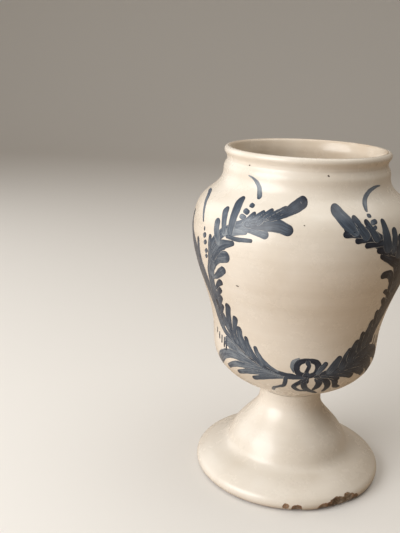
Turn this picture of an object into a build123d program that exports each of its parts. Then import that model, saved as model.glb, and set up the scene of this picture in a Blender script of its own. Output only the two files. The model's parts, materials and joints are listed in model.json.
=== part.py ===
from build123d import *
import os
from math import asin, cos, degrees, radians, sin, sqrt, tan

# A footed apothecary jar: a jar and a hollow pedestal foot, thrown apart, luted together
# with slip and tin glazed. Millimetres. The jar's axis is Z, and the table is z = 0.
# Sections are drawn as (radius, height) and turned about the axis.

# Pedestal foot, measured over its glaze: each spread is taken out from the point above, and
# each rise up from the point below
foot_spread = 11.5
foot_rim_round = 5.0
foot_rim_roll = 52.0
skirt_spread, skirt_rise = 10.8, 14.6
crease_spread, crease_rise = 2.0, 6.2
shelf_spread, shelf_rise = 3.4, 4.2
dome_spread, dome_rise = 13.2, 6.0
throat_spread, throat_rise = 2.8, 15.5
stem_radius, stem_rise = 21.8, 8.5
stem_length = 7.2

# Hollow of the foot, and the flat ring that it stands on
foot_wall = 6.5
foot_top = 7.0
ring_width = 8.5

# Luting slip: the bed between foot and jar, and the bead wiped into the corner outside
slip_bed = 0.8
slip_bead = 2.2

# Jar, measured over its glaze, with each rise taken from the point below, and the first
# from the top of the slip bed
underside_radius = 36.0
underside_slope = 27.0
heel_radius, heel_rise = 55.2, 26.5
band_radius, band_rise = 57.0, 16.5
flank_radius, flank_rise = 65.8, 34.6
shoulder_radius, shoulder_rise = 73.9, 33.4
crown_radius, crown_rise = 67.0, 24.0
collar_radius, collar_rise = 54.7, 14.8
neck_radius, neck_rise = 53.0, 6.7
rim_radius, rim_rise = 54.4, 10.5
rim_round = 2.5
rim_start = -38.0

# Inside of the jar
jar_wall = 6.0
floor_thickness = 9.0
mouth_radius = 48.0
mouth_depth = 15.0
lip_slope = 20.0

# Tin glaze, and the strip above the table that is wiped bare for firing
glaze = 0.5
bare_strip = 1.4

# Chips in the rim of the foot: scallops of one radius, with the depth of the bite, and the
# height and the azimuths from the front where they sit
chip_radius, chip_bite, chip_height, chip_azimuths = 7.0, 3.0, 3.4, (34.0, 41.5)
nick_radius, nick_bite, nick_height, nick_azimuths = 3.4, 1.2, 2.2, (8.5, 24.5, 28.5, 47.5)
speck_radius, speck_bite, speck_height, speck_azimuths = 1.9, 0.9, 4.0, (2.2,)
flaked_margin = 0.9


def stacked(base, *steps):
    """Points from steps of (radius, rise), each rise taken from the point below."""
    points = []
    for radius, rise in steps:
        base += rise
        points.append((radius, base))
    return points


throat_radius = stem_radius + throat_spread
dome_radius = throat_radius + dome_spread
shelf_radius = dome_radius + shelf_spread
crease_radius = shelf_radius + crease_spread
skirt_radius = crease_radius + skirt_spread
foot_radius = skirt_radius + foot_spread
foot_points = stacked(
    0,
    (skirt_radius, skirt_rise),
    (crease_radius, crease_rise),
    (shelf_radius, shelf_rise),
    (dome_radius, dome_rise),
    (throat_radius, throat_rise),
    (stem_radius, stem_rise),
)
foot_height = foot_points[-1][1] + stem_length
seam = foot_height + slip_bed
underside_rise = (underside_radius - stem_radius) * tan(radians(underside_slope))
belly_points = [(underside_radius, seam + underside_rise)] + stacked(
    seam,
    (heel_radius, heel_rise),
    (band_radius, band_rise),
    (flank_radius, flank_rise),
    (shoulder_radius, shoulder_rise),
    (crown_radius, crown_rise),
)
neck_points = stacked(belly_points[-1][1], (collar_radius, collar_rise), (neck_radius, neck_rise))
rim_height = neck_points[-1][1] + rim_rise
rim_centre = Vector(rim_radius - rim_round, rim_height - rim_round)
ring_edge = foot_radius - foot_rim_round


def heading(angle):
    """Unit vector at an angle above the radius."""
    return Vector(cos(radians(angle)), sin(radians(angle)))


def into_clay(along):
    """Unit vector into the clay from an outer surface that runs upwards along a vector."""
    return Vector(-along.Y, along.X)


def parallel(points, start, finish, depth):
    """Points and tangents of a smooth outer surface, moved into the clay by depth."""
    surface = Spline(*points, tangents=[start, finish])
    tangents = [surface.tangent_at(Vector(*point)) for point in points]
    moved = [Vector(*point) + into_clay(along) * depth for point, along in zip(points, tangents)]
    return moved, tangents


def smooth(points, tangents):
    return Spline(*points, tangents=tangents)


def enclosed(*path):
    """Face inside a closed path of lines and corner points, linked by straight runs."""
    lines = [step for step in path if not isinstance(step, Vector)]
    ends = [(step, step) if isinstance(step, Vector) else (step @ 0, step @ 1) for step in path]
    for (_, here), (there, _) in zip(ends, ends[1:] + ends[:1]):
        if (there - here).length > 1e-6:
            lines.append(Line(here, there))
    return make_face(lines)


def skin(surface, back):
    """Face between two parallel rows of lines, closed across both ends."""
    closing = [Line(surface[0] @ 0, back[0] @ 0), Line(surface[-1] @ 1, back[-1] @ 1)]
    return make_face(surface + back + closing)


def turned(section):
    return revolve(Plane.XZ * section, Axis.Z)


# Foot

def foot_surface(depth):
    """Points and tangents from the rounded rim over skirt, crease and dome to the stem."""
    roll_end = Vector(ring_edge, foot_rim_round) + heading(foot_rim_roll) * foot_rim_round
    return parallel([roll_end] + foot_points, heading(foot_rim_roll + 90), heading(90), depth)


def foot_roll(depth, start):
    return CenterArc((ring_edge, foot_rim_round), foot_rim_round - depth, start, foot_rim_roll - start)


def foot_clay_section():
    stem_top = Vector(stem_radius - glaze, foot_height)
    outside = [foot_roll(glaze, -90), smooth(*foot_surface(glaze)), stem_top]
    solid = enclosed(Vector(0, 0), Vector(ring_edge, 0), *outside, Vector(0, foot_height))
    points, tangents = foot_surface(foot_wall)
    inside = smooth(points[1:], tangents[1:])
    roof = foot_height - foot_top
    shaft_top = Vector(stem_radius - foot_wall, roof)
    ring_inner = Vector(ring_edge - ring_width, 0)
    return solid - enclosed(Vector(0, 0), ring_inner, inside, shaft_top, Vector(0, roof))


def foot_glaze_section():
    edge = degrees(asin(bare_strip / foot_rim_round - 1))
    rows = []
    for depth in (0, glaze):
        sweep = smooth(*foot_surface(depth))
        stem_line = Line(sweep @ 1, bead_arc(depth) @ 0)
        rows.append([foot_roll(depth, edge), sweep, stem_line])
    return skin(*rows)


# Seam

def seam_corner(depth):
    """Where the stem's line and the jar's underside meet, moved into the clay by depth."""
    along = depth * (sin(radians(underside_slope)) - 1) / cos(radians(underside_slope))
    start = Vector(stem_radius, seam) + into_clay(heading(underside_slope)) * depth
    return start + heading(underside_slope) * along


def bead_arc(depth):
    """Hollow round of the slip bead, from the stem to the jar's underside."""
    corner = seam_corner(depth)
    reach = (slip_bead + depth) / tan(radians((90 + underside_slope) / 2))
    return TangentArc(corner - Vector(0, reach), corner + heading(underside_slope) * reach, tangent=(0, 1))


def base_edge():
    """Outer edge of the jar's flat base, on top of the slip bed."""
    corner = seam_corner(glaze)
    return Vector(corner.X - (corner.Y - seam) / tan(radians(underside_slope)), seam)


def slip_section():
    stem_top = Vector(stem_radius - glaze, foot_height)
    return enclosed(Vector(0, foot_height), stem_top, bead_arc(glaze), base_edge(), Vector(0, seam))


# Jar

def wall_surface(depth):
    """Points and tangents from the underside up the jar's wall to the rounded rim."""
    rim_foot = rim_centre + heading(rim_start) * rim_round
    points = belly_points + neck_points + [rim_foot]
    return parallel(points, heading(underside_slope), heading(rim_start + 90), depth)


def rim_arc(depth, start, finish):
    return CenterArc(rim_centre, rim_round - depth, start, finish - start)


def inside_lines(depth):
    """Inside of the jar from the centre of its floor up to the lip, moved into the clay by depth."""
    points, tangents = wall_surface(jar_wall - depth)
    followed = len(belly_points)
    mouth = mouth_radius + depth
    mouth_foot = Vector(mouth, rim_height - mouth_depth)
    wall = smooth(points[:followed] + [mouth_foot], tangents[:followed] + [heading(90)])
    floor = seam + floor_thickness - depth
    floor_inset = (points[0].Y - floor) / tan(radians(underside_slope))
    floor_edge = Vector(points[0].X - floor_inset, floor)
    lip_end = rim_centre + heading(180 - lip_slope) * (rim_round - depth)
    mouth_top = Vector(mouth, lip_end.Y - (lip_end.X - mouth) / tan(radians(lip_slope)))
    return [
        Line((0, floor), floor_edge),
        Line(floor_edge, wall @ 0),
        wall,
        Line(wall @ 1, mouth_top),
        Line(mouth_top, lip_end),
    ]


def jar_clay_section():
    wall = smooth(*wall_surface(glaze))
    inside = inside_lines(glaze)
    base = [Line((0, seam), base_edge()), Line(base_edge(), wall @ 0), Line((0, seam), inside[0] @ 0)]
    return make_face(base + inside + [wall, rim_arc(glaze, rim_start, 180 - lip_slope)])


def jar_glaze_section():
    rows = []
    for depth in (0, glaze):
        bead = bead_arc(depth)
        wall = smooth(*wall_surface(depth))
        rows.append([bead, Line(bead @ 1, wall @ 0), wall, rim_arc(depth, rim_start, 90)])
    return skin(*rows)


def lining_section():
    rows = [inside_lines(depth) + [rim_arc(depth, 180 - lip_slope, 90)] for depth in (0, glaze)]
    return skin(*rows)


# Chips

def scallops(radius, bite, height, azimuths, margin):
    """Balls that bite into the rounded rim of the foot at a height, all round the azimuths."""
    surface = ring_edge + sqrt(foot_rim_round**2 - (height - foot_rim_round) ** 2)
    ball = Pos(0, -(surface + radius - bite), height) * Sphere(radius + margin)
    return [Rot(0, 0, azimuth) * ball for azimuth in azimuths]


def chipped(solid, margin):
    """A solid with the chips bitten out of its rim, larger by margin where the glaze flaked off."""
    chips = scallops(chip_radius, chip_bite, chip_height, chip_azimuths, margin)
    nicks = scallops(nick_radius, nick_bite, nick_height, nick_azimuths, margin)
    specks = scallops(speck_radius, speck_bite, speck_height, speck_azimuths, margin)
    return solid - (chips + nicks + specks)


pieces = {
    "jar_body": turned(jar_clay_section()),
    "pedestal_foot": chipped(turned(foot_clay_section()), 0),
    "slip_joint": turned(slip_section()),
    "outside_glaze": turned(jar_glaze_section()),
    "lining_glaze": turned(lining_section()),
    "foot_glaze": chipped(turned(foot_glaze_section()), flaked_margin),
}

os.makedirs("parts", exist_ok=True)
for name, piece in pieces.items():
    export_step(piece, f"parts/{name}.step")
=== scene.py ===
import json
from math import asin, cos, degrees, pi, radians, sin, sqrt

import bmesh
import bpy
import numpy as np
from mathutils import Matrix, Vector, noise
from mathutils.bvhtree import BVHTree

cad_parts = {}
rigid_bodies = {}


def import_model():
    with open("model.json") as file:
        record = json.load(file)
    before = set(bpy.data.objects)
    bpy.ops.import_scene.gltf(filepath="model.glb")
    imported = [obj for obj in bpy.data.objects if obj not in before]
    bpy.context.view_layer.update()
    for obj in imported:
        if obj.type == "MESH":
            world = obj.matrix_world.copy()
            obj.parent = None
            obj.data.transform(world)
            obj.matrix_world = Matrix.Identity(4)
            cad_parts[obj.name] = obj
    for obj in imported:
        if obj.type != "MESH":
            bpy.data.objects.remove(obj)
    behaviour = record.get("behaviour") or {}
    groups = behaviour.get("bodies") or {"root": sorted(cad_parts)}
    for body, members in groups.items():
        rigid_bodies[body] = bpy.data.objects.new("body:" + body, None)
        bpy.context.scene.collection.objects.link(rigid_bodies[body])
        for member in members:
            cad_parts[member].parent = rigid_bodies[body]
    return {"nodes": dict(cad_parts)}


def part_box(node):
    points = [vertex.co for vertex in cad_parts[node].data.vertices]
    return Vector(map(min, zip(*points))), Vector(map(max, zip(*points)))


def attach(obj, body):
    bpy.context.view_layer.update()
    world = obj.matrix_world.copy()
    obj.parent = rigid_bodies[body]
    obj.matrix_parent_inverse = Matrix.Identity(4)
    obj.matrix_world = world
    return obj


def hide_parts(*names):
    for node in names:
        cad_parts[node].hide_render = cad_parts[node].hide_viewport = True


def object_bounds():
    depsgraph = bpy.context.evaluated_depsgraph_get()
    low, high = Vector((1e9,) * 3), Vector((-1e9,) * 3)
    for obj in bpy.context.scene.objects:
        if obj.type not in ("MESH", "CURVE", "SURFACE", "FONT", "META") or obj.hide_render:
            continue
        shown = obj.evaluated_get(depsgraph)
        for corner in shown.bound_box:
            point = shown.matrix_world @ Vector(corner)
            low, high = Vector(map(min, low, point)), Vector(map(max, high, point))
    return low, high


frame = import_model()
boxLow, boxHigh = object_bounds()
mm = 0.001
print("stage: frame loaded")

# Camera and light

camera = {
    "place": (0.0, -0.4862, 0.2870),
    "turnLeft": 8.0,  # degrees, as are the next two
    "lookDown": 16.24,
    "roll": 1.87,
    "lens": 49.54,  # mm, on the sensor's width
    "sensor": 36,
    "clip": (0.01, 50),
}

stage = {
    "floorColour": (0.80, 0.785, 0.76),
    "floorBounce": (0.40, 0.29, 0.19),  # the colour that the floor throws on the jar
    "floorRoughness": 0.8,
    "floorSides": (-6.0, 6.0),
    "floorFront": -4.0,
    "sweepStart": 1.5,  # behind the jar, where the floor turns up
    "sweepRadius": 1.5,
    "sweepSteps": 24,
    "backdropTop": 5.0,
    "worldColour": (1.0, 0.92, 0.81),
    "worldStrength": 0.30,
    "lamps": {
        "window": {"place": (-0.92, -0.78, 0.62), "aim": (0, 0, 0.13), "size": 1.1, "power": 18.5,
                   "colour": (1.0, 0.985, 0.965)},
        "wall": {"place": (-1.0, 0.35, 0.5), "aim": (0, 0, 0.16), "size": 0.8, "power": 2.0,
                 "colour": (1.0, 0.98, 0.95)},
        "ceiling": {"place": (0.25, 0.15, 1.25), "aim": (0, 0, 0.1), "size": 1.2, "power": 6.0,
                    "colour": (1.0, 0.96, 0.90)},
    },
}


def addCamera():
    data = bpy.data.cameras.new("photoCamera")
    data.lens = camera["lens"]
    data.sensor_width = camera["sensor"]
    data.clip_start, data.clip_end = camera["clip"]
    seen = bpy.data.objects.new("photoCamera", data)
    turn = Matrix.Rotation(radians(camera["turnLeft"]), 4, "Z")
    tilt = Matrix.Rotation(radians(90 - camera["lookDown"]), 4, "X")
    roll = Matrix.Rotation(radians(camera["roll"]), 4, "Z")
    seen.matrix_world = Matrix.Translation(camera["place"]) @ turn @ tilt @ roll
    bpy.context.scene.collection.objects.link(seen)
    bpy.context.scene.camera = seen


def addLamp(name, lamp):
    data = bpy.data.lights.new(name, "AREA")
    data.shape = "DISK"
    data.size = lamp["size"]
    data.energy = lamp["power"]
    data.color = lamp["colour"]
    made = bpy.data.objects.new(name, data)
    place = Vector(lamp["place"])
    aim = (Vector(lamp["aim"]) - place).to_track_quat("-Z", "Y").to_matrix().to_4x4()
    made.matrix_world = Matrix.Translation(place) @ aim
    bpy.context.scene.collection.objects.link(made)


# Small helpers for node trees: an input takes a value or another node's output

def fill(tree, node, inputs):
    for name, value in inputs.items():
        if isinstance(value, bpy.types.NodeSocket):
            tree.links.new(value, node.inputs[name])
        else:
            node.inputs[name].default_value = value
    return node


def put(tree, kind, inputs=None, **settings):
    node = tree.nodes.new(kind)
    for name, value in settings.items():
        setattr(node, name, value)
    return fill(tree, node, inputs or {})


def reckon(tree, operation, *values):
    return put(tree, "ShaderNodeMath", dict(enumerate(values)), operation=operation).outputs[0]


def vectorReckon(tree, operation, *values):
    return put(tree, "ShaderNodeVectorMath", dict(enumerate(values)), operation=operation).outputs[0]


def scaled(tree, vector, factor):
    return put(tree, "ShaderNodeVectorMath", {0: vector, "Scale": factor}, operation="SCALE").outputs[0]


def split(tree, vector):
    return put(tree, "ShaderNodeSeparateXYZ", {0: vector}).outputs


def joined(tree, *parts):
    return put(tree, "ShaderNodeCombineXYZ", dict(enumerate(parts))).outputs[0]


def blend(tree, share, first, second, kind="MIX"):
    inputs = {0: share, 6: first, 7: second}  # the sockets that a colour mix uses
    return put(tree, "ShaderNodeMix", inputs, data_type="RGBA", blend_type=kind).outputs[2]


def between(tree, value, low, high, start=0.0, end=1.0):
    inputs = {0: value, 1: low, 2: high, 3: start, 4: end}
    return put(tree, "ShaderNodeMapRange", inputs).outputs[0]


def noiseAt(tree, place, size, detail, output=0, **more):
    dimensions = "4D" if "W" in more else "3D"
    inputs = {"Vector": place, "Scale": size, "Detail": detail, **more}
    return put(tree, "ShaderNodeTexNoise", inputs, noise_dimensions=dimensions).outputs[output]


def bump(tree, height, distance, strength=1.0):
    inputs = {"Height": height, "Distance": distance, "Strength": strength}
    return put(tree, "ShaderNodeBump", inputs).outputs[0]


def colour(rgb):
    return (*rgb, 1.0)


def addSockets(tree, way, sockets):
    for name, kind in sockets.items():
        tree.interface.new_socket(name, in_out=way, socket_type="NodeSocket" + kind)


def startTree(name, kind, inputs, outputs):
    tree = bpy.data.node_groups.new(name, kind)
    addSockets(tree, "INPUT", inputs)
    addSockets(tree, "OUTPUT", outputs)
    return tree, put(tree, "NodeGroupInput").outputs, put(tree, "NodeGroupOutput")


def useGroup(tree, group, values):
    return put(tree, "ShaderNodeGroup", values, node_tree=group).outputs


def finishTree(tree, geometry, finish, result):
    whole = put(tree, "GeometryNodeRealizeInstances", {0: geometry})
    dressed = put(tree, "GeometryNodeSetMaterial", {"Geometry": whole.outputs[0], "Material": finish})
    fill(tree, result, {0: dressed.outputs[0]})


def startMaterial(name):
    material = bpy.data.materials.new(name)
    material.use_nodes = True
    tree = material.node_tree
    shader = next(node for node in tree.nodes if node.type == "BSDF_PRINCIPLED")
    return material, tree, shader


midNoise = (0.3, 0.7)  # where most of a noise's values lie

# Skin of the tin glaze: its unevenness, marks of the wheel, pinholes and dirt. The size of a
# noise is in repeats for each metre

skinMarks = {
    "peelDetail": 2.0,
    "cloudSize": 22.0,
    "cloudDetail": 4.0,
    "cloudRoughness": 0.55,
    "ringStretch": (9.0, 9.0, 1.0),
    "ringDetail": 3.0,
    "holeSize": 120.0,
    "holeEdge": (0.035, 0.07),
    "holesKept": (0.985, 0.99),
    "dirtSize": 60.0,
    "dirtDetail": 6.0,
    "dirtRoughness": 0.7,
    "dirtEdge": (0.55, 0.75),
    "ringHeight": 0.6,
    "peelHeight": 0.25,
}


def makeGlazeSkin():
    tree, given, result = startTree(
        "glazeSkin",
        "ShaderNodeTree",
        dict.fromkeys(("Peel Size", "Ring Pitch", "Pinholes"), "Float"),
        dict.fromkeys(("Height", "Cloud", "Ring", "Pinhole", "Dirt"), "Float"),
    )
    marks = skinMarks
    place = put(tree, "ShaderNodeTexCoord").outputs["Object"]
    peel = noiseAt(tree, place, given["Peel Size"], marks["peelDetail"])
    cloud = noiseAt(tree, place, marks["cloudSize"], marks["cloudDetail"], Roughness=marks["cloudRoughness"])
    parts = split(tree, vectorReckon(tree, "MULTIPLY", place, marks["ringStretch"]))
    rise = reckon(tree, "MULTIPLY", parts[2], given["Ring Pitch"])
    ring = noiseAt(tree, joined(tree, parts[0], parts[1], rise), 1.0, marks["ringDetail"])
    holes = put(tree, "ShaderNodeTexVoronoi", {"Vector": place, "Scale": marks["holeSize"]})
    near = between(tree, holes.outputs["Distance"], *marks["holeEdge"], 1.0, 0.0)
    chosen = put(tree, "ShaderNodeSeparateColor", {0: holes.outputs["Color"]})
    rare = between(tree, chosen.outputs[0], *marks["holesKept"])
    hole = reckon(tree, "MULTIPLY", reckon(tree, "MULTIPLY", near, rare), given["Pinholes"])
    dirt = noiseAt(tree, place, marks["dirtSize"], marks["dirtDetail"], Roughness=marks["dirtRoughness"])
    peelHeight = reckon(tree, "MULTIPLY", peel, marks["peelHeight"])
    height = reckon(tree, "MULTIPLY_ADD", ring, marks["ringHeight"], peelHeight)
    fill(tree, result, {
        "Height": reckon(tree, "SUBTRACT", height, hole),
        "Cloud": cloud,
        "Ring": ring,
        "Pinhole": hole,
        "Dirt": between(tree, dirt, *marks["dirtEdge"]),
    })
    return tree


glazeSkin = makeGlazeSkin()

tinGlaze = {
    "name": "warmTinGlaze",
    "colour": (0.775, 0.73, 0.66),
    "thinColour": (0.70, 0.64, 0.555),
    "speckColour": (0.16, 0.095, 0.05),
    "thinEdge": (0.35, 0.68),
    "ringShare": 0.16,
    "roughness": (0.27, 0.42),
    "bump": 0.00012,
    "peelSize": 260.0,
    "ringPitch": 210.0,
    "pinholes": 0.6,
}

liningGlazeLook = {
    **tinGlaze,
    "name": "liningTinGlaze",
    "colour": (0.74, 0.665, 0.565),
    "thinColour": (0.60, 0.50, 0.39),
    "roughness": (0.22, 0.40),
    "bump": 0.00018,
}


def useSkin(tree, look):
    return useGroup(tree, glazeSkin, {
        "Peel Size": look["peelSize"],
        "Ring Pitch": look["ringPitch"],
        "Pinholes": look["pinholes"],
    })


def makeGlaze(look):
    material, tree, shader = startMaterial(look["name"])
    skin = useSkin(tree, look)
    thin = colour(look["thinColour"])
    base = blend(tree, between(tree, skin["Cloud"], *look["thinEdge"]), colour(look["colour"]), thin)
    ringTint = between(tree, skin["Ring"], *midNoise, 0.0, look["ringShare"])
    base = blend(tree, ringTint, base, thin, "MULTIPLY")
    fill(tree, shader, {
        "Base Color": blend(tree, skin["Pinhole"], base, colour(look["speckColour"])),
        "Roughness": between(tree, skin["Dirt"], 0.0, 1.0, *look["roughness"]),
        "Normal": bump(tree, skin["Height"], look["bump"]),
    })
    return material


warmTinGlaze = makeGlaze(tinGlaze)
liningTinGlaze = makeGlaze(liningGlazeLook)


# Grain of the fired clay, for the body, the chips, the slip and the specks

clayMarks = {
    "gritDetail": 5.0,
    "smearSize": 45.0,
    "smearDetail": 4.0,
    "smearTwist": 0.6,
    "smearEdge": (0.35, 0.65),
    "grainColour": (0.72, 0.62, 0.5),
    "grainEdge": (0.0, 0.25),
    "grainShare": 0.35,
    "grainDepth": 0.4,
    "roughness": (0.72, 0.95),
    "bumpStrength": 0.9,
}


def makeClayGrain():
    tree, given, result = startTree(
        "clayGrain",
        "ShaderNodeTree",
        {"Fineness": "Float", "Light": "Color", "Dark": "Color"},
        {"Color": "Color", "Roughness": "Float", "Height": "Float"},
    )
    marks = clayMarks
    place = put(tree, "ShaderNodeTexCoord").outputs["Object"]
    grit = noiseAt(tree, place, given["Fineness"], marks["gritDetail"])
    smear = noiseAt(tree, place, marks["smearSize"], marks["smearDetail"], Distortion=marks["smearTwist"])
    grains = put(tree, "ShaderNodeTexVoronoi", {"Vector": place, "Scale": given["Fineness"]})
    distance = grains.outputs["Distance"]
    made = blend(tree, between(tree, smear, *marks["smearEdge"]), given["Light"], given["Dark"])
    pale = between(tree, distance, *marks["grainEdge"], marks["grainShare"], 0.0)
    fill(tree, result, {
        "Color": blend(tree, pale, made, colour(marks["grainColour"])),
        "Roughness": between(tree, grit, *midNoise, *marks["roughness"]),
        "Height": reckon(tree, "MULTIPLY_ADD", distance, -marks["grainDepth"], grit),
    })
    return tree


clayGrain = makeClayGrain()


def makeClay(name, light, dark, fineness, relief):
    material, tree, shader = startMaterial(name)
    grain = useGroup(tree, clayGrain, {"Light": colour(light), "Dark": colour(dark), "Fineness": fineness})
    fill(tree, shader, {
        "Base Color": grain["Color"],
        "Roughness": grain["Roughness"],
        "Normal": bump(tree, grain["Height"], relief, clayMarks["bumpStrength"]),
    })
    return material


firedClay = makeClay("firedClay", light=(0.42, 0.27, 0.17), dark=(0.24, 0.14, 0.085),
                     fineness=900.0, relief=0.3 * mm)
brokenClay = makeClay("brokenClay", light=(0.40, 0.32, 0.24), dark=(0.20, 0.14, 0.095),
                      fineness=1100.0, relief=0.6 * mm)
lutingSlip = makeClay("lutingSlip", light=(0.52, 0.38, 0.27), dark=(0.4, 0.27, 0.18),
                      fineness=1400.0, relief=0.2 * mm)
kilnSpeck = makeClay("kilnSpeck", light=(0.07, 0.045, 0.03), dark=(0.03, 0.02, 0.015),
                     fineness=2600.0, relief=0.1 * mm)
print("stage: glaze and clay finishes made")


# Cobalt painting: density from the brush's load (on the right branch partly painted shade), its streaks, and
# the pooling at edges and ends

cobalt = {
    "bare": (0.52, 0.51, 0.48),
    "wash": (0.25, 0.285, 0.32),
    "middle": (0.062, 0.085, 0.12),
    "deep": (0.009, 0.013, 0.026),
    "washDensity": 0.12,
    "middleDensity": 0.5,
    "deepDensity": 1.0,
    "edge": (0.15, 0.75, 0.15, 0.0),  # mm from, mm to, and the density that each of them adds
    "head": (0.2, 4.0, 0.26, 0.0),
    "tail": (0.0, 6.0, -0.14, 0.0),
    "streakAcross": 3.2,
    "streakAlong": 0.06,
    "streakByLoad": 57.0,
    "streakSize": 1.6,
    "streakShare": 0.17,
    "poolSize": 210.0,
    "poolShare": 0.09,
    "detail": 3.0,
    "gapEdge": (0.1, 0.3, 1.0, 0.0),  # gaps that the brush skipped, in mm from the side
    "gapNoise": (0.42, 0.56, 0.0, 0.8),
    "gapFromHead": (3.0, 5.0),
    "roughness": (0.26, 0.42),
    "bump": 0.10 * mm,
    "peelSize": 260.0,
    "ringPitch": 210.0,
    "pinholes": 0.0,
}


def makeCobalt():
    material, tree, shader = startMaterial("cobaltPaint")
    brush = put(tree, "ShaderNodeAttribute", attribute_name="brush").outputs["Vector"]
    rim = put(tree, "ShaderNodeAttribute", attribute_name="rim").outputs["Vector"]
    along, across, load = split(tree, brush)
    side, toHead, toTail = split(tree, rim)
    streakPlace = joined(
        tree,
        reckon(tree, "MULTIPLY", across, cobalt["streakAcross"]),
        reckon(tree, "MULTIPLY", along, cobalt["streakAlong"]),
        reckon(tree, "MULTIPLY", load, cobalt["streakByLoad"]),
    )
    place = put(tree, "ShaderNodeTexCoord").outputs["Object"]
    streak = noiseAt(tree, streakPlace, cobalt["streakSize"], cobalt["detail"])
    pool = noiseAt(tree, place, cobalt["poolSize"], cobalt["detail"])
    sides = reckon(tree, "ADD", load, between(tree, side, *cobalt["edge"]))
    head = between(tree, toHead, *cobalt["head"])
    tail = between(tree, toTail, *cobalt["tail"])
    density = reckon(tree, "ADD", sides, reckon(tree, "ADD", head, tail))
    for pattern, share in ((streak, cobalt["streakShare"]), (pool, cobalt["poolShare"])):
        density = reckon(tree, "MULTIPLY_ADD", between(tree, pattern, *midNoise, -1.0, 1.0), share, density)
    skipped = between(tree, side, *cobalt["gapEdge"])
    gap = reckon(tree, "MULTIPLY", skipped, between(tree, pool, *cobalt["gapNoise"]))
    gap = reckon(tree, "MULTIPLY", gap, between(tree, toHead, *cobalt["gapFromHead"]))
    ramp = put(tree, "ShaderNodeValToRGB", {0: density})
    stops = ramp.color_ramp.elements
    stops[0].position = cobalt["washDensity"]
    stops[0].color = colour(cobalt["wash"])
    stops[1].position = cobalt["deepDensity"]
    stops[1].color = colour(cobalt["deep"])
    stops.new(cobalt["middleDensity"]).color = colour(cobalt["middle"])
    skin = useSkin(tree, cobalt)
    fill(tree, shader, {
        "Base Color": blend(tree, gap, ramp.outputs[0], colour(cobalt["bare"])),
        "Roughness": between(tree, pool, *midNoise, *cobalt["roughness"]),
        "Normal": bump(tree, skin["Height"], cobalt["bump"]),
    })
    return material


cobaltPaint = makeCobalt()
print("stage: cobalt finish made")


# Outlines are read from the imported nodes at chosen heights, so every coat sits on its own clay.
# A path is a row of (radius, height)

def readRadii(nodeName, heights, inside=False):
    tree = BVHTree.FromObject(frame["nodes"][nodeName], bpy.context.evaluated_depsgraph_get())
    start, way = (0, -1) if inside else (-0.2, 1)  # from the axis, or from well outside
    hits = [tree.ray_cast(Vector((0, start, height)), Vector((0, way, 0)))[0] for height in heights]
    return [abs(hit.y) for hit in hits]


def smoothPath(points, spacing):
    knots = np.array(points, float)
    steps = np.hypot(*np.diff(knots, axis=0).T)
    count = len(knots)
    system = np.zeros((count, count))
    right = np.zeros((count, 2))
    system[0, 0] = system[-1, -1] = 1
    slopes = np.diff(knots, axis=0) / steps[:, None]
    for i in range(1, count - 1):
        system[i, i - 1] = steps[i - 1]
        system[i, i] = 2 * (steps[i - 1] + steps[i])
        system[i, i + 1] = steps[i]
        right[i] = 6 * (slopes[i] - slopes[i - 1])
    bends = np.linalg.solve(system, right)  # of the natural cubic spline through the knots
    made = []
    for i in range(count - 1):
        parts = max(1, round(steps[i] / spacing))
        for part in range(parts):
            h, t = steps[i], part / parts * steps[i]
            a, b = bends[i], bends[i + 1]
            spot = knots[i] + slopes[i] * t - (h * t / 6) * (2 * a + b) + (t * t / 2) * a
            made.append(spot + (t**3 / (6 * h)) * (b - a))
    made.append(knots[-1])
    return [tuple(spot) for spot in made]


def arcPoint(centre, radius, angle):
    turn = radians(angle)
    return (centre[0] + radius * cos(turn), centre[1] + radius * sin(turn))


def arcPath(centre, radius, start, end, steps):
    return [arcPoint(centre, radius, start + (end - start) * i / steps) for i in range(steps + 1)]


def setBack(path, depth):  # into the clay, for a path that runs upwards on the outside
    points = np.array(path)
    ways = np.gradient(points, axis=0)
    ways /= np.hypot(*ways.T)[:, None]
    return [tuple(point) for point in points + np.stack([-ways[:, 1], ways[:, 0]], 1) * depth]


def turnOnWheel(name, path, segments):
    vertices, rows = [], []
    for radius, height in path:
        if radius < 1e-7:  # on the axis, so one point closes the form
            rows.append([len(vertices)])
            vertices.append((0, 0, height))
            continue
        rows.append(list(range(len(vertices), len(vertices) + segments)))
        for i in range(segments):
            turn = 2 * pi * i / segments
            vertices.append((radius * cos(turn), radius * sin(turn), height))
    faces = []
    for lower, upper in zip(rows, rows[1:] + rows[:1]):
        if len(lower) == len(upper) == 1:
            continue
        for i in range(segments):
            j = (i + 1) % segments
            if len(lower) == 1:
                faces.append((lower[0], upper[j], upper[i]))
            elif len(upper) == 1:
                faces.append((lower[i], lower[j], upper[0]))
            else:
                faces.append((lower[i], lower[j], upper[j], upper[i]))
    mesh = bpy.data.meshes.new(name)
    mesh.from_pydata(vertices, [], faces)
    mesh.shade_smooth()
    made = bpy.data.objects.new(name, mesh)
    bpy.context.scene.collection.objects.link(made)
    return made


# The hand on the wheel: rings and a slow wander of the wall, moved inwards along the radius only

wheelMarks = {
    "ringPitch": 190.0,
    "ringDrift": 0.5,  # how far a ring changes on its way round
    "ringDetail": 1.0,
    "ringDepth": 0.16 * mm,
    "wander": 7.0,
    "wanderDetail": 0.0,
    "wanderDepth": 0.22 * mm,
}


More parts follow.
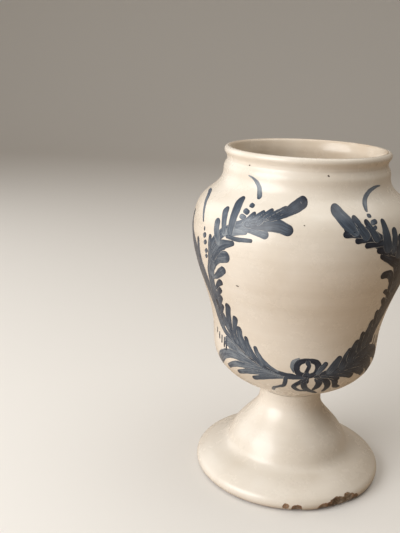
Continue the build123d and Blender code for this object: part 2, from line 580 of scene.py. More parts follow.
def makeWheelTree():
    tree, given, result = startTree(
        "wheelMarks",
        "GeometryNodeTree",
        {
            "Geometry": "Geometry",
            "Ring Pitch": "Float",
            "Ring Depth": "Float",
            "Wander": "Float",
            "Wander Depth": "Float",
            "Seed": "Float",
            "Finish": "Material",
        },
        {"Geometry": "Geometry"},
    )
    place = put(tree, "GeometryNodeInputPosition").outputs[0]
    parts = split(tree, place)
    outward = vectorReckon(tree, "NORMALIZE", joined(tree, parts[0], parts[1]))
    rise = joined(tree, 0.0, 0.0, reckon(tree, "MULTIPLY", parts[2], given["Ring Pitch"]))
    ringPlace = vectorReckon(tree, "ADD", scaled(tree, outward, wheelMarks["ringDrift"]), rise)
    ring = noiseAt(tree, ringPlace, 1.0, wheelMarks["ringDetail"], W=given["Seed"])
    slow = noiseAt(tree, place, given["Wander"], wheelMarks["wanderDetail"], W=given["Seed"])
    inward = reckon(tree, "MULTIPLY", ring, given["Ring Depth"])
    inward = reckon(tree, "MULTIPLY_ADD", slow, given["Wander Depth"], inward)
    move = scaled(tree, outward, reckon(tree, "MULTIPLY", inward, -1.0))
    moved = put(tree, "GeometryNodeSetPosition", {"Geometry": given["Geometry"], "Offset": move})
    finishTree(tree, moved.outputs[0], given["Finish"], result)
    return tree


wheelTree = makeWheelTree()


def runTree(owner, tree, values):
    modifier = owner.modifiers.new(tree.name, "NODES")
    modifier.node_group = tree
    for item in tree.interface.items_tree:
        if item.item_type == "SOCKET" and item.in_out == "INPUT" and item.name in values:
            modifier[item.identifier] = values[item.name]


def makePlain(owner):
    bpy.context.view_layer.update()
    seen = owner.evaluated_get(bpy.context.evaluated_depsgraph_get())
    mesh = bpy.data.meshes.new_from_object(seen)
    owner.modifiers.clear()
    owner.data = mesh


def throw(owner, finish, seed, depth=1.0):
    runTree(owner, wheelTree, {
        "Ring Pitch": wheelMarks["ringPitch"],
        "Ring Depth": wheelMarks["ringDepth"] * depth,
        "Wander": wheelMarks["wander"],
        "Wander Depth": wheelMarks["wanderDepth"] * depth,
        "Seed": seed,
        "Finish": finish,
    })
    makePlain(owner)


def declare(owner, slotName, *nodes):
    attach(owner, "root")
    if nodes:
        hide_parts(*nodes)


# Outside coat of the jar. Outlines are read at heights in mm

jarCoat = {
    "segments": 288,
    "spacing": 1.3 * mm,
    "heights": (62.3, 63.1, 64, 65, 66.5, 68.5, 72, 77, 82, 86, 89.5, 93, 98, 103, 109, 116, 124, 132, 140,
                148, 157, 166, 174, 182, 190, 196, 201, 205, 208.5, 211, 213, 215, 218, 222),
    "firstReading": 0.05 * mm,  # above the coat's lower edge
    "coat": 0.5 * mm,
    "rimRadius": 54.4 * mm,
    "rimRound": 2.5 * mm,
    "rimStart": -38.0,
    "rimSteps": 14,
    "keptUnder": 0.04 * mm,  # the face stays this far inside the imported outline
    "backStep": 3,  # the hidden back takes every third point
    "seed": 1.3,
}
rimCentre = (jarCoat["rimRadius"] - jarCoat["rimRound"], boxHigh.z - jarCoat["rimRound"])
jarRadii = readRadii("outside_glaze", [height * mm for height in jarCoat["heights"]])


def makeJarCoat():
    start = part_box("outside_glaze")[0].z
    startRadius = readRadii("outside_glaze", [start + jarCoat["firstReading"]])[0]
    knots = [(startRadius, start)]
    knots += [(radius, height * mm) for radius, height in zip(jarRadii, jarCoat["heights"])]
    rim = arcPath(rimCentre, jarCoat["rimRound"], jarCoat["rimStart"], 90, jarCoat["rimSteps"])
    outline = smoothPath(knots + [rim[0]], jarCoat["spacing"]) + rim[1:]
    face = setBack(outline, jarCoat["keptUnder"])
    back = setBack(outline, jarCoat["coat"])
    made = turnOnWheel("outsideGlaze", face + back[::-jarCoat["backStep"]], jarCoat["segments"])
    throw(made, warmTinGlaze, jarCoat["seed"])
    declare(made, "tin_glaze", "outside_glaze")
    return made


outsideGlaze = makeJarCoat()
print("stage: outside glaze turned")


# Lining of the jar: floor, inside of the wall, straight neck and rounded lip

liningCoat = {
    "segments": 240,
    "spacing": 1.6 * mm,
    "heights": (73.5, 76, 79, 82, 86, 90, 95, 101, 108, 116, 124, 132, 140, 148, 157, 166, 174, 181, 188,
                194, 200, 206, 211, 215, 219, 223),
    "floorRadius": 26.2 * mm,
    "floorRings": 14,
    "coat": 0.5 * mm,
    "lipStart": 160.0,
    "lipSteps": 8,
    "backStep": 2,
    "seed": 4.1,
    "marks": 1.6,  # the hand marks the inside more deeply
}


def makeLining():
    heights = [height * mm for height in liningCoat["heights"]]
    radii = readRadii("lining_glaze", heights, inside=True)
    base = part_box("lining_glaze")[0].z
    floorHeight = base + liningCoat["coat"]
    floorRadius, rings = liningCoat["floorRadius"], liningCoat["floorRings"]
    lipRound = jarCoat["rimRound"] - jarCoat["keptUnder"]
    lip = arcPath(rimCentre, lipRound, 90, liningCoat["lipStart"], liningCoat["lipSteps"])
    knots = [(floorRadius, floorHeight)] + list(zip(radii, heights)) + [lip[-1]]
    wall = smoothPath(knots, liningCoat["spacing"])[::-1]
    floor = [(floorRadius * (rings - i) / rings, floorHeight) for i in range(1, rings + 1)]
    face = lip[:-1] + wall + floor
    back = setBack(face, liningCoat["coat"])
    back[-1] = (0, floorHeight - liningCoat["coat"])
    made = turnOnWheel("liningGlaze", face + back[::-liningCoat["backStep"]], liningCoat["segments"])
    throw(made, liningTinGlaze, liningCoat["seed"], liningCoat["marks"])
    declare(made, "lining", "lining_glaze")


makeLining()
print("stage: lining turned")


# Pedestal foot: clay with its hollow, the coat of glaze over it, and the chips in its rim

foot = {
    "segments": 288,
    "spacing": 1.2 * mm,
    "rimRound": 5.0 * mm,
    "rimRoll": 52.0,
    "rollSteps": 16,
    "glazeRollSteps": 12,
    "bareStrip": 1.4 * mm,
    "coat": 0.5 * mm,
    "roofThickness": 7 * mm,
    "ringWidth": 8.5 * mm,
    "ringInnerBand": 0.3,  # share of the ring's width
    "ringOuterBand": 0.6 * mm,
    "heights": (10.2, 11.6, 13, 14.6, 16.4, 18.4, 20.8, 22.8, 25, 27, 29, 31, 34, 38, 42, 46.5, 51, 55, 58.5),
    "hollowHeights": (54.6, 50, 45, 40, 35, 30, 25, 20.5, 16, 12, 8, 4, 1),
    "seed": 1.3,
}
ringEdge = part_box("foot_glaze")[1].x - foot["rimRound"]
rollCentre = (ringEdge, foot["rimRound"])

chips = {
    "scallops": {"radius": 7.0 * mm, "bite": 3.0 * mm, "height": 3.4 * mm, "azimuths": (34.0, 41.5)},
    "nicks": {"radius": 3.4 * mm, "bite": 1.2 * mm, "height": 2.2 * mm, "azimuths": (8.5, 24.5, 28.5, 47.5)},
    "specks": {"radius": 1.9 * mm, "bite": 0.9 * mm, "height": 4.0 * mm, "azimuths": (2.2,)},
    "margin": 0.9 * mm,  # where the glaze flaked off round a chip
    "ballLevels": 5,
    "lumps": 0.16,  # share of the radius
    "lumpSize": 420.0,
    "lumpNoise": (0.7, 2.1, 4),  # roughness, step in size, layers
    "sharpAngle": 38,
}


def footWall(depth):
    heights = [height * mm for height in foot["heights"]]
    radii = readRadii("foot_glaze", heights)
    rollEnd = arcPoint(rollCentre, foot["rimRound"], foot["rimRoll"])
    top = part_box("foot_glaze")[1].z
    wall = smoothPath([rollEnd] + list(zip(radii, heights)) + [(radii[-1], top)], foot["spacing"])
    return setBack(wall, depth)


def makeCutters(margin, finish):
    group = bpy.data.collections.new("chipCutters")
    for kind in ("scallops", "nicks", "specks"):
        size = chips[kind]
        reach = size["height"] - foot["rimRound"]
        surface = ringEdge + sqrt(foot["rimRound"] ** 2 - reach**2)
        away = surface + size["radius"] - size["bite"]
        for azimuth in size["azimuths"]:
            turn = radians(azimuth)
            centre = Vector((away * sin(turn), -away * cos(turn), size["height"]))
            ball = bmesh.new()
            bmesh.ops.create_icosphere(ball, subdivisions=chips["ballLevels"], radius=size["radius"] + margin)
            for vertex in ball.verts:
                lump = noise.fractal((vertex.co + centre) * chips["lumpSize"], *chips["lumpNoise"])
                vertex.co = vertex.co * (1 + chips["lumps"] * lump) + centre
            mesh = bpy.data.meshes.new("cutter")
            ball.to_mesh(mesh)
            ball.free()
            mesh.materials.append(finish)
            mesh.shade_smooth()
            group.objects.link(bpy.data.objects.new("cutter", mesh))
    return group


def bite(owner, margin, finish):
    group = makeCutters(margin, finish)
    cut = owner.modifiers.new("chips", "BOOLEAN")
    cut.operand_type = "COLLECTION"
    cut.collection = group
    cut.operation = "DIFFERENCE"
    cut.solver = "EXACT"
    cut.material_mode = "TRANSFER"
    makePlain(owner)
    owner.data.set_sharp_from_angle(angle=radians(chips["sharpAngle"]))
    for cutter in list(group.objects):
        bpy.data.objects.remove(cutter)
    bpy.data.collections.remove(group)


def makeFootClay():
    hollow = [height * mm for height in foot["hollowHeights"]]
    hollowRadii = readRadii("pedestal_foot", hollow, inside=True)
    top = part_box("pedestal_foot")[1].z
    roof = top - foot["roofThickness"]
    roll = arcPath(rollCentre, foot["rimRound"] - foot["coat"], -90, foot["rimRoll"], foot["rollSteps"])
    wall = footWall(foot["coat"])
    shaft = smoothPath(list(zip(hollowRadii, hollow)), foot["spacing"])
    ringInner = ringEdge - foot["ringWidth"]
    ring = [(ringInner, 0), (ringInner + foot["ringInnerBand"] * foot["ringWidth"], 0)]
    ring += [(ringEdge - foot["ringOuterBand"], 0), (ringEdge, 0)]
    closing = [(wall[-1][0], top), (0, top), (0, roof), (hollowRadii[0] / 2, roof), (hollowRadii[0], roof)]
    made = turnOnWheel("footClay", ring + roll + wall[1:] + closing + shaft, foot["segments"])
    throw(made, firedClay, foot["seed"])
    bite(made, 0, brokenClay)
    declare(made, "clay", "pedestal_foot")


def makeFootCoat():
    edge = degrees(asin(foot["bareStrip"] / foot["rimRound"] - 1))
    roll = arcPath(rollCentre, foot["rimRound"], edge, foot["rimRoll"], foot["glazeRollSteps"])
    face = setBack(roll, jarCoat["keptUnder"]) + footWall(jarCoat["keptUnder"])[1:]
    back = setBack(roll, foot["coat"]) + footWall(foot["coat"])[1:]
    made = turnOnWheel("footGlaze", face + back[::-1], foot["segments"])
    throw(made, warmTinGlaze, foot["seed"])
    bite(made, chips["margin"], brokenClay)
    declare(made, "tin_glaze", "foot_glaze")


makeFootClay()
makeFootCoat()
for name, finish in (("jar_body", firedClay), ("slip_joint", lutingSlip)):
    for slot in frame["nodes"][name].material_slots:
        slot.material = finish
print("stage: foot turned and chipped")


# Painting, drawn flat: each stroke is its load (its density of cobalt, on the right branch partly
# painted shade), its line as (azimuth, height) from its tail to its head, where the paint pools, in
# degrees and mm, and its widths along that line in mm.
# Azimuths are taken from the front, towards +X

wreath = {
    "repeats": 2,
    "stepAlong": 0.7 * mm,
    "lanes": (-1, -0.75, -0.45, -0.15, 0.15, 0.45, 0.75, 1),  # across the stroke
    "capSteps": 6,
    "thinnest": 0.003,  # least width of a rounded end, squared, as a share
    "lift": 0.045 * mm,
    "liftPerStroke": 0.0012 * mm,
    "sunk": 0.16 * mm,
    "ragged": 0.06,
    "raggedPitch": 0.45,  # repeats for each mm
    "raggedSide": 9.0,  # keeps the two sides apart in the noise
    "raggedSeed": 0.37,
    "wobble": (1.5, 1.3),  # degrees and mm, at the back; the front is as drawn
    "wobbleSize": 3.0,
    "wobbleRise": 14.0,
    "wobbleDetail": 1.0,
    "wallReach": 0.12,  # further out than the wall is anywhere
    "sharpAngle": 40,
    "fringeSlant": 0.3,
}

leftStems = (
    (0.28, ((-8, 92), (-20, 94), (-32, 98.5), (-44, 103.5), (-50, 106)), (3, 7, 11, 10, 5)),
    (0.34, ((-38, 101), (-46, 103.6), (-52, 103)), (4, 5, 3)),
    (0.50, ((-60, 126), (-66, 142), (-72, 154), (-79, 166), (-86, 175)), (6, 9, 10, 9, 6)),
    (0.46, ((-44, 108), (-52, 112), (-57.6, 119), (-60, 130), (-61.4, 142), (-64, 154), (-69, 166),
            (-75.5, 177)), (3, 5, 7, 8, 9, 10, 9, 6)),
    (0.50, ((-60.5, 126), (-61.5, 140), (-62.8, 154), (-63, 165), (-62.4, 172.6)), (6, 7, 6.4, 5, 3.4)),
    (0.50, ((-54, 118), (-54.5, 130), (-54.5, 142), (-53, 152), (-50.5, 160)), (8, 8, 7.5, 7, 6)),
    (0.72, ((7.5, 91.6), (1, 92.2), (-6, 93), (-14, 95.2), (-23, 98.8), (-32, 102.8), (-41, 109), (-48, 116),
            (-53, 123), (-55, 132)), (2, 4.4, 4.4, 3.6, 3.4, 3.8, 4.4, 4.6, 4, 3)),
    (0.50, ((-50.5, 158), (-49, 167), (-46, 175), (-42, 181), (-37, 185.6), (-30, 189.6), (-22, 192.3),
            (-14, 194.6)), (6, 6.4, 6.4, 6, 5.6, 6.4, 7, 6)),
    (0.52, ((-46.5, 113), (-38, 106.5), (-29, 102), (-19, 98.5)), (2.6, 3, 3, 2)),
)

leftLeaves = (
    (0.46, ((-66, 150), (-69, 162), (-71, 172)), (5, 6, 4)),
    (0.50, ((-73, 168), (-80, 177), (-87, 183)), (4, 6.4, 6)),
    (0.50, ((-72, 166), (-75.6, 178), (-77.4, 186)), (5, 6, 5.4)),
    (0.50, ((-70, 146), (-78, 150), (-84, 151.6)), (5, 5.4, 4.4)),
    (0.50, ((-76, 158), (-84, 163), (-91, 165)), (5, 5.4, 4.4)),
    (0.36, ((-16, 94), (-30, 96.6), (-42, 98), (-52, 95.4), (-59, 90.6), (-64, 86)), (2, 5, 6, 7, 8, 6)),
    (0.36, ((-12, 93.4), (-26, 94), (-38, 92.6), (-45, 89.8), (-50, 86.8)), (2, 4.4, 4.6, 4, 3.4)),
    (0.38, ((-8, 92), (-20, 91.8), (-30, 89.8), (-35, 88), (-39.4, 86.2)), (2, 4.4, 4.2, 3.6, 3.2)),
    (0.42, ((-5, 91), (-13, 90.2), (-20, 88), (-26, 85.8)), (2, 3.8, 4, 3.4)),
    (0.44, ((-9, 94.8), (-15, 97.4), (-20, 101), (-23.5, 105), (-24.8, 108)), (1.6, 2.8, 3.2, 3.2, 2.8)),
    (0.55, ((-20, 97.5), (-26, 102), (-30, 108), (-31.7, 113)), (3, 4, 3.4, 3)),
    (0.50, ((-30, 102.5), (-34, 108), (-36.6, 113), (-37, 117.6)), (4.6, 5.4, 5.2, 4.8)),
    (0.52, ((-39, 108), (-41, 114), (-40.4, 120), (-39, 124.6)), (3, 3.6, 4.2, 4.6)),
    (0.60, ((-43.6, 111), (-45.4, 118), (-45, 126), (-43.6, 132)), (5, 5.4, 5.4, 5)),
    (0.50, ((-47.6, 116), (-49.4, 120), (-51, 123.6)), (4, 4.6, 4)),
    (0.66, ((-52.6, 124.6), (-51, 127.6), (-49, 130.6)), (3, 3.6, 3)),
    (0.62, ((-51.6, 131), (-50, 134.5), (-48.2, 137)), (3, 4, 3.6)),
    (0.62, ((-51, 137.5), (-49, 140.6), (-46.9, 143)), (3, 3.8, 4)),
    (0.66, ((-50.6, 143), (-47.6, 146.6), (-44.7, 149)), (2.6, 3.6, 4.4)),
    (0.48, ((-51, 150), (-46.6, 153), (-43, 156.4), (-40.6, 158.6)), (2, 4.2, 5.6, 5)),
    (0.42, ((-51.6, 153), (-48.6, 160), (-44, 165.6), (-38, 168.2)), (5, 6.4, 7.4, 7.6)),
    (0.50, ((-48, 165), (-44, 171.6), (-39.4, 175.6), (-33.6, 177.8)), (6, 7.4, 6.6, 3.4)),
    (0.26, ((-39, 183), (-33, 185), (-27, 186)), (4.6, 5, 3)),
    (0.56, ((-37, 181.2), (-31, 180.9), (-23.6, 181.7)), (2.6, 3, 2.4)),
    (0.46, ((-29, 188), (-22.6, 187.4), (-17, 186.3)), (3, 4.2, 5)),
    (0.38, ((-42.6, 176), (-44.6, 182), (-45.4, 188)), (4, 5.2, 5)),
    (0.50, ((-49.8, 166), (-49.8, 172), (-49.2, 178)), (2.8, 3.2, 3.2)),
    (0.46, ((-39.6, 184), (-41, 190), (-42.5, 195.4)), (3.6, 4.4, 5)),
    (0.56, ((-35.6, 184.6), (-35.6, 191), (-36, 196.6), (-37.4, 201.2)), (4.4, 5.4, 6, 6.2)),
    (0.46, ((-28.6, 190.6), (-26.6, 194), (-25, 196.4)), (3, 3.2, 3)),
    (0.48, ((-26, 191), (-22.6, 195), (-20.4, 197.9)), (4, 4.4, 2.8)),
    (0.58, ((-21, 193), (-18.6, 196.6), (-16.4, 199.1)), (4.4, 4, 3.2)),
    (0.70, ((-27, 190.6), (-18, 191.6), (-11, 191.8), (-6.4, 190.2)), (4, 6.6, 7.4, 6.4)),
    (0.66, ((-18, 195.4), (-13, 198.4), (-9.4, 200.8)), (3.4, 4.2, 3.4)),
    (0.80, ((-15, 195.6), (-9.6, 198.6), (-5, 201.8), (-0.9, 204.8)), (3.4, 4.8, 6.6, 7)),
)

# The right branch's loads run heavier than the left's: partly its own denser cobalt, partly painted shade for
# the side of the jar turned away from the window.
rightStems = (
    (0.76, ((56, 116), (62, 124), (66, 136), (70, 150), (75, 162), (82, 174)), (6, 9, 10, 10, 8, 5)),
    (0.80, ((15.5, 92.6), (24, 94.4), (34, 97), (44, 101.6), (52, 109), (58, 118), (61, 128), (62, 138),
            (61, 148), (58.5, 158), (55, 167), (48.6, 175.6), (41, 182), (34, 187), (27, 190.4), (22, 192)),
     (2, 5, 8, 12, 13, 11, 9, 9, 9, 10, 10, 10, 9, 9, 8, 5)),
    (0.82, ((19, 94.4), (28, 96.6), (36, 100), (42.6, 105.6), (48, 112), (53, 120.6), (56.6, 130),
            (58.2, 140), (58, 150), (56, 160)), (3, 5, 7.4, 9, 9, 8, 7, 7, 7, 5)),
)

# Heavier loads here too: partly denser cobalt, partly painted shade for the jar's shaded side.
rightLeaves = (
    (0.72, ((69, 142), (77, 148), (84, 150.6)), (5, 6, 4.6)),
    (0.72, ((74, 158), (82, 164), (90, 167)), (5, 6, 5)),
    (0.76, ((74, 160), (79, 171), (80, 182)), (5, 6.4, 5.6)),
    (0.72, ((57, 146), (64, 154), (68.6, 163)), (7, 7, 4.4)),
    (0.72, ((20, 92.6), (27, 92.2), (32, 90)), (2, 3.4, 3.4)),
    (0.76, ((24, 94), (35, 93.4), (43.2, 90.4)), (3, 5.6, 4.8)),
    (0.74, ((30, 95), (43, 95.6), (51, 92.4), (56.6, 88.4)), (3, 7, 7, 4.6)),
    (0.74, ((40, 99.6), (55, 104), (67, 101), (74, 96.4), (79, 92)), (5, 9, 9, 7, 5)),
    (0.76, ((34, 97), (49, 99), (59, 95.6), (65, 89.4), (68, 85)), (4, 8, 9, 7, 4.8)),
    (0.50, ((17, 95.4), (19.4, 98.6), (21.6, 101.4)), (3, 4, 3.4)),
    (0.56, ((25, 96.4), (28.4, 100.4), (31, 104.2)), (5, 6, 4.4)),
    (0.72, ((34, 99), (36.4, 104.6), (38.3, 109)), (6, 5.6, 3.8)),
    (0.78, ((39.6, 103), (41.6, 109), (43.3, 113.4)), (6, 6, 5)),
    (0.86, ((46.6, 108), (46.8, 114), (46.4, 119.4)), (5, 4.2, 3.4)),
    (0.80, ((50.6, 111), (51.4, 119), (51.8, 126.6)), (5.4, 5.4, 4)),
    (0.90, ((56, 124), (54, 129.6), (52.7, 134)), (4, 3.8, 3)),
    (0.92, ((58, 136), (55, 140.4), (52.8, 143)), (4, 4, 3)),
    (0.92, ((58, 144), (54, 147.6), (50.9, 149.3)), (4, 4, 3)),
    (0.92, ((54.6, 150), (52.6, 157), (49.2, 161.6), (44.8, 161.8)), (3.6, 5, 5.8, 5.2)),
    (0.92, ((53, 168), (47, 171.4), (41.2, 174.8)), (7, 5.6, 4.2)),
    (0.92, ((46, 176.4), (42.6, 177.6), (38.8, 178.6)), (5, 4.8, 4.2)),
    (0.92, ((41, 182.6), (36, 182.4), (31.6, 182.1)), (4.4, 3.6, 3.4)),
    (0.90, ((37, 186), (31.6, 185.7), (26.6, 185.2)), (4.4, 3.6, 3.6)),
    (0.86, ((32, 188.6), (26, 189), (20.9, 189)), (4.6, 4.4, 4)),
    (0.68, ((53, 174), (54, 179.4), (53.8, 184)), (6, 6, 4.6)),
    (0.66, ((49, 178), (49.6, 184), (49.4, 188.4)), (6, 6, 4.8)),
    (0.68, ((44.4, 180), (43.4, 188), (42.6, 194.4)), (8, 6.4, 3.8)),
    (0.76, ((37, 186), (34.4, 190.8), (32.4, 195)), (5.6, 4.4, 3.6)),
    (0.70, ((31, 188), (28.4, 192.6), (26.3, 197)), (6, 5, 4.2)),
    (0.60, ((25.4, 190.6), (21.6, 195.6), (17.6, 201.2)), (6, 8, 7.4)),
)

bow = (
    (0.30, ((4, 105.2), (1, 103), (0.1, 99.6), (1.4, 96)), (1.6, 2.8, 2.8, 1.4)),
    (0.88, ((11, 93.6), (5, 94.8), (2.9, 99), (5, 103), (10.4, 104.1), (15.4, 102.8), (17.1, 98.8),
            (15.2, 94.6), (9.6, 93)), (3.4, 3.8, 4.2, 4, 3.2, 4.2, 4.6, 4.2, 3.4)),
    (0.86, ((10, 102.6), (10.8, 100), (9.6, 96.4), (9.6, 94)), (3.4, 2.6, 2.8, 3.2)),
    (0.84, ((9.8, 93.4), (9.7, 91), (9.6, 89)), (5, 4, 4.4)),
    (0.86, ((9, 90.6), (5.4, 87.8), (2.2, 84.2), (5.2, 81), (9.8, 80.2), (14, 80.6)),
     (3, 3.2, 3.4, 2.8, 1.8, 2)),
    (0.82, ((9.4, 90), (8.6, 87.4), (9.6, 84), (12.4, 81.2), (16.4, 79.2), (21, 76.8)),
     (4, 4, 4.2, 3.6, 3, 1.6)),
    (0.84, ((16.8, 90.6), (18.9, 88.2), (18.6, 84.6), (16.8, 82)), (3.2, 5, 4.6, 2.6)),
    (0.88, ((17.2, 91.6), (21.6, 90.6), (25, 87.2), (26.4, 83), (25.6, 79.4)), (2, 4, 4.6, 4.4, 3)),
    (0.84, ((26.4, 91), (29.6, 89.6), (31.4, 86.4), (32.6, 83.6), (37, 81.4)), (2.4, 4.6, 4.6, 4, 2.4)),
    (0.74, ((-3.6, 90.6), (-3.8, 87.4), (-4.8, 84.4), (-8, 82.9), (-11.8, 80.8), (-13.2, 78.4)),
     (2.8, 2.9, 2.7, 2.1, 2.4, 2.6)),
)

commasAndDots = (
    (0.30, ((-39, 216.2), (-35.5, 215.2), (-32, 213), (-29.6, 210.4), (-28, 207.4), (-26.9, 205.4)),
     (0.9, 1.7, 2.7, 3.1, 3.1, 2.8)),
    (0.50, ((-29, 200.8), (-27.6, 200.4)), (2.3, 2.1)),
    (0.46, ((-30.6, 197.6), (-28.8, 196.9)), (2.7, 2.7)),
    (0.38, ((-31.4, 194.4), (-29.4, 193.9)), (2.9, 2.7)),
    (0.36, ((56, 212.6), (51, 212.3), (45, 210.6), (40, 207.6), (36.6, 203.8), (35.3, 201)),
     (1, 1.9, 2.5, 2.8, 2.8, 1.8)),
    (0.56, ((34.9, 198.3), (35.8, 198.3)), (2.1, 2.1)),
    (0.50, ((36, 194.7), (37.8, 195.1)), (3, 2.9)),
    (0.50, ((36.1, 191.3), (37.1, 192)), (2.6, 2.4)),
    (0.40, ((-79, 201.4), (-72, 200.4), (-66, 197.2), (-61.6, 192), (-58, 185.4)), (1.4, 2.5, 3, 2.6, 1.4)),
    (0.55, ((-55.4, 181.8), (-55.3, 180.8)), (1.7, 1.7)),
    (0.45, ((-55, 177), (-54.2, 177.7)), (3.2, 3.2)),
    (0.45, ((-54.4, 172.6), (-53.4, 173.4)), (3, 3)),
    (0.45, ((-53.9, 167), (-52.8, 168)), (2.8, 2.8)),
    (0.45, ((-54.2, 163.4), (-53.4, 164.2)), (2.4, 2.4)),
)

specks = (
    (0.9, ((-32.5, 150.5), (-31.4, 150.4)), (0.9, 0.7)),
    (0.9, ((14.4, 220), (14.8, 219.8)), (0.9, 0.8)),
    (0.8, ((1, 193.5), (1.3, 193.4)), (0.6, 0.5)),
    (0.8, ((-41, 222), (-40.6, 222.2)), (0.8, 0.6)),
    (0.8, ((103, 140), (103.6, 140.4)), (0.8, 0.7)),
    (0.8, ((-128, 176), (-127.3, 176.2)), (0.9, 0.6)),
    (0.8, ((160, 118), (160.4, 118.4)), (0.7, 0.5)),
    (0.8, ((-100, 98), (-99.4, 98.1)), (0.8, 0.6)),
)

fringes = (
    {"azimuths": (-64.5, -60.5, -57, -53.6, -51), "tops": (109, 107.4, 106.4, 106, 105.6),
     "lengths": (2.6, 4, 4.6, 6, 7), "width": 1.6, "load": 0.6},
    {"azimuths": (61, 65, 70, 75), "tops": (114, 113, 111, 110),
     "lengths": (4, 7, 7, 5), "width": 1.7, "load": 0.75},
)


def smoothLine(points, step):
    knots = np.array(points, float)
    padded = np.vstack([2 * knots[0] - knots[1], knots, 2 * knots[-1] - knots[-2]])
    made, shares = [], []
    for i in range(len(knots) - 1):
        a, b, c, d = padded[i:i + 4]
        parts = max(2, int(np.hypot(*(c - b)) / step) + 1)
        for part in range(parts + (i == len(knots) - 2)):
            t = part / parts
            made.append(0.5 * (2 * b + (c - a) * t + (2 * a - 5 * b + 4 * c - d) * t**2
                               + (3 * b - a - 3 * c + d) * t**3))
            shares.append(i + t)
    return np.array(made), np.array(shares)


def roundEnd(away, half):
    return np.sqrt(np.clip(1 - np.clip(1 - away / half, 0, 1) ** 2, wreath["thinnest"], 1))


def followStroke(flat, half):
    line, shares = smoothLine(flat, wreath["stepAlong"])
    tail, head = line[0] - line[1], line[-1] - line[-2]
    tail, head = tail / np.hypot(*tail) * half[0], head / np.hypot(*head) * half[-1]
    line = np.vstack([line[0] + tail, line, line[-1] + head])
    shares = np.concatenate([[0], shares, [len(half) - 1]])
    marks = np.concatenate([[0], np.cumsum(np.hypot(*np.diff(line, axis=0).T))])
    length = marks[-1]
    turns = np.linspace(0, pi / 2, wreath["capSteps"] + 1)[:-1]
    caps = [half[0] * (1 - np.cos(turns)), length - half[-1] * (1 - np.cos(turns))]
    inner = marks[(marks > half[0]) & (marks < length - half[-1])]
    stops = np.unique(np.concatenate([*caps, inner]))
    centre = np.stack([np.interp(stops, marks, line[:, axis]) for axis in (0, 1)], 1)
    ways = np.stack([np.interp(stops, marks, np.gradient(line[:, axis], marks)) for axis in (0, 1)], 1)
    ways /= np.hypot(*ways.T)[:, None]
    aside = np.stack([-ways[:, 1], ways[:, 0]], 1)
    reach = np.interp(np.interp(stops, marks, shares), range(len(half)), half)
    reach *= roundEnd(stops, half[0])
    reach *= roundEnd(length - stops, half[-1])
    return stops, length, centre, aside, reach


def addStroke(drawn, stroke):
    load, points, widths = stroke
    middle = sum(height for _, height in points) / len(points)
    perDegree = radians(np.interp(middle, jarCoat["heights"], jarRadii))
    flat = [(azimuth * perDegree, height * mm) for azimuth, height in points]
    stops, length, centre, aside, reach = followStroke(flat, np.array(widths) * mm / 2)
    first = len(drawn["vertices"])
    seed = first * wreath["raggedSeed"]
    lift = wreath["lift"] + wreath["liftPerStroke"] * drawn["count"]
    ring = [(lane, lift) for lane in wreath["lanes"]] + [(1, -wreath["sunk"]), (-1, -wreath["sunk"])]
    for i, stop in enumerate(stops):
        for lane, height in ring:
            side = wreath["raggedSide"] if lane > 0 else -wreath["raggedSide"]
            ragged = 1 + wreath["ragged"] * noise.noise((stop / mm * wreath["raggedPitch"], side, seed))
            spot = centre[i] + aside[i] * ragged * reach[i] * lane
            drawn["vertices"].append((radians(spot[0] / perDegree), height, spot[1]))
            drawn["brush"].append((stop / mm, lane, load))
            drawn["rim"].append((reach[i] * (1 - abs(lane)) / mm, (length - stop) / mm, stop / mm))
    row = len(ring)
    for i in range(len(stops) - 1):
        here, there = first + i * row, first + (i + 1) * row
        for lane in range(row):
            beside = (lane + 1) % row
            drawn["faces"].append((here + lane, there + lane, there + beside, here + beside))
    end = first + (len(stops) - 1) * row
    drawn["faces"].append(tuple(first + lane for lane in range(row)))
    drawn["faces"].append(tuple(end + lane for lane in reversed(range(row))))
    drawn["count"] += 1


def drawFlat(name, *groups):
    drawn = {"vertices": [], "faces": [], "brush": [], "rim": [], "count": 0}
    for strokes in groups:
        for stroke in strokes:
            addStroke(drawn, stroke)
    mesh = bpy.data.meshes.new(name)
    mesh.from_pydata(drawn["vertices"], [], drawn["faces"])
    for layer in ("brush", "rim"):
        mesh.attributes.new(layer, "FLOAT_VECTOR", "POINT").data.foreach_set("vector", np.ravel(drawn[layer]))
    made = bpy.data.objects.new(name, mesh)
    bpy.context.scene.collection.objects.link(made)
    return made


# A flat drawing has its azimuth along X, its height along Z and its lift off the wall along Y

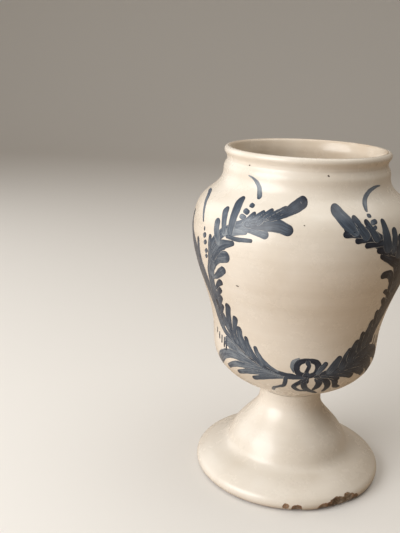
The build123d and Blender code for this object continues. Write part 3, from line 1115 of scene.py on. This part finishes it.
def makeWrapTree():
    tree, given, result = startTree(
        "wrapOnWall",
        "GeometryNodeTree",
        {
            "Geometry": "Geometry",
            "Wall": "Object",
            "Repeats": "Int",
            "Sway": "Float",
            "Rise": "Float",
            "Finish": "Material",
        },
        {"Geometry": "Geometry"},
    )
    reach = wreath["wallReach"]
    pitch = reckon(tree, "DIVIDE", 2 * pi, given["Repeats"])
    row = put(tree, "GeometryNodeMeshLine", {"Count": given["Repeats"], "Offset": joined(tree, pitch)})
    copies = put(tree, "GeometryNodeInstanceOnPoints", {
        "Points": row.outputs[0],
        "Instance": given["Geometry"],
    }).outputs[0]
    flat = put(tree, "GeometryNodeRealizeInstances", {0: copies}).outputs[0]
    azimuth, lift, height = split(tree, put(tree, "GeometryNodeInputPosition").outputs[0])
    ahead = reckon(tree, "COSINE", azimuth)
    behind = reckon(tree, "MULTIPLY_ADD", ahead, -0.5, 0.5)  # 0 at the front, 1 at the back
    climb = reckon(tree, "MULTIPLY", height, wreath["wobbleRise"])
    driftPlace = joined(tree, ahead, reckon(tree, "SINE", azimuth), climb)
    drift = noiseAt(tree, driftPlace, wreath["wobbleSize"], wreath["wobbleDetail"], output="Color")
    drifts = split(tree, vectorReckon(tree, "SUBTRACT", drift, (0.5, 0.5, 0.5)))
    sway = reckon(tree, "MULTIPLY", reckon(tree, "MULTIPLY", drifts[0], given["Sway"]), behind)
    rise = reckon(tree, "MULTIPLY", reckon(tree, "MULTIPLY", drifts[1], given["Rise"]), behind)
    turn = reckon(tree, "ADD", azimuth, sway)
    forward = reckon(tree, "MULTIPLY", reckon(tree, "COSINE", turn), -1.0)
    outward = joined(tree, reckon(tree, "SINE", turn), forward)
    level = joined(tree, 0.0, 0.0, reckon(tree, "ADD", height, rise))
    wall = put(tree, "GeometryNodeObjectInfo", {"Object": given["Wall"]}, transform_space="RELATIVE")
    hit = put(tree, "GeometryNodeRaycast", {
        "Target Geometry": wall.outputs["Geometry"],
        "Source Position": vectorReckon(tree, "MULTIPLY_ADD", outward, (reach, reach, 0.0), level),
        "Ray Direction": vectorReckon(tree, "MULTIPLY", outward, (-1.0, -1.0, 0.0)),
        "Ray Length": reach,
    }).outputs
    spot = vectorReckon(tree, "ADD", hit["Hit Position"], scaled(tree, hit["Hit Normal"], lift))
    moved = put(tree, "GeometryNodeSetPosition", {"Geometry": flat, "Position": spot})
    finishTree(tree, moved.outputs[0], given["Finish"], result)
    return tree


wrapTree = makeWrapTree()


def paint(name, *groups, finish=cobaltPaint, repeats=wreath["repeats"]):
    made = drawFlat(name, *groups)
    sway, rise = wreath["wobble"]
    runTree(made, wrapTree, {
        "Wall": outsideGlaze,
        "Repeats": repeats,
        "Sway": radians(sway) * 2,  # the drift runs from -0.5 to 0.5
        "Rise": rise * mm * 2,
        "Finish": finish,
    })
    makePlain(made)
    made.data.shade_smooth()
    made.data.set_sharp_from_angle(angle=radians(wreath["sharpAngle"]))
    declare(made, "tin_glaze")


dashes = tuple(
    (
        fringe["load"],
        ((azimuth, top), (azimuth - wreath["fringeSlant"], top - length)),
        (fringe["width"], fringe["width"]),
    )
    for fringe in fringes
    for azimuth, top, length in zip(fringe["azimuths"], fringe["tops"], fringe["lengths"])
)
paint("wreathStems", leftStems, rightStems)
paint("wreathLeaves", leftLeaves, rightLeaves)
paint("ribbonBows", bow)
paint("commasAndDots", commasAndDots, dashes)
paint("glazeSpecks", specks, finish=kilnSpeck, repeats=1)
print("stage: wreaths painted")


# Floor, backdrop and light

def addFloor():
    material, tree, shader = startMaterial("paleFloor")
    seen = put(tree, "ShaderNodeLightPath").outputs["Is Camera Ray"]
    shown = blend(tree, seen, colour(stage["floorBounce"]), colour(stage["floorColour"]))
    fill(tree, shader, {"Base Color": shown, "Roughness": stage["floorRoughness"]})
    start, radius = stage["sweepStart"], stage["sweepRadius"]
    profile = [(stage["floorFront"], 0.0), (start, 0.0)]
    profile += arcPath((start, radius), radius, -90, 0, stage["sweepSteps"])[1:]
    profile.append((start + radius, stage["backdropTop"]))
    vertices = [(side, away, height) for away, height in profile for side in stage["floorSides"]]
    faces = [(2 * i, 2 * i + 1, 2 * i + 3, 2 * i + 2) for i in range(len(profile) - 1)]
    mesh = bpy.data.meshes.new("floor")
    mesh.from_pydata(vertices, [], faces)
    mesh.materials.append(material)
    mesh.shade_smooth()
    floor = bpy.data.objects.new("floor", mesh)
    bpy.context.scene.collection.objects.link(floor)


def addWorld():
    world = bpy.data.worlds.new("studio")
    world.use_nodes = True
    light = world.node_tree.nodes["Background"]
    light.inputs["Color"].default_value = colour(stage["worldColour"])
    light.inputs["Strength"].default_value = stage["worldStrength"]
    bpy.context.scene.world = world


addCamera()
addFloor()
addWorld()
for name, lamp in stage["lamps"].items():
    addLamp(name, lamp)
bpy.context.scene.view_settings.view_transform = "Standard"
print("stage: floor, light and camera placed")
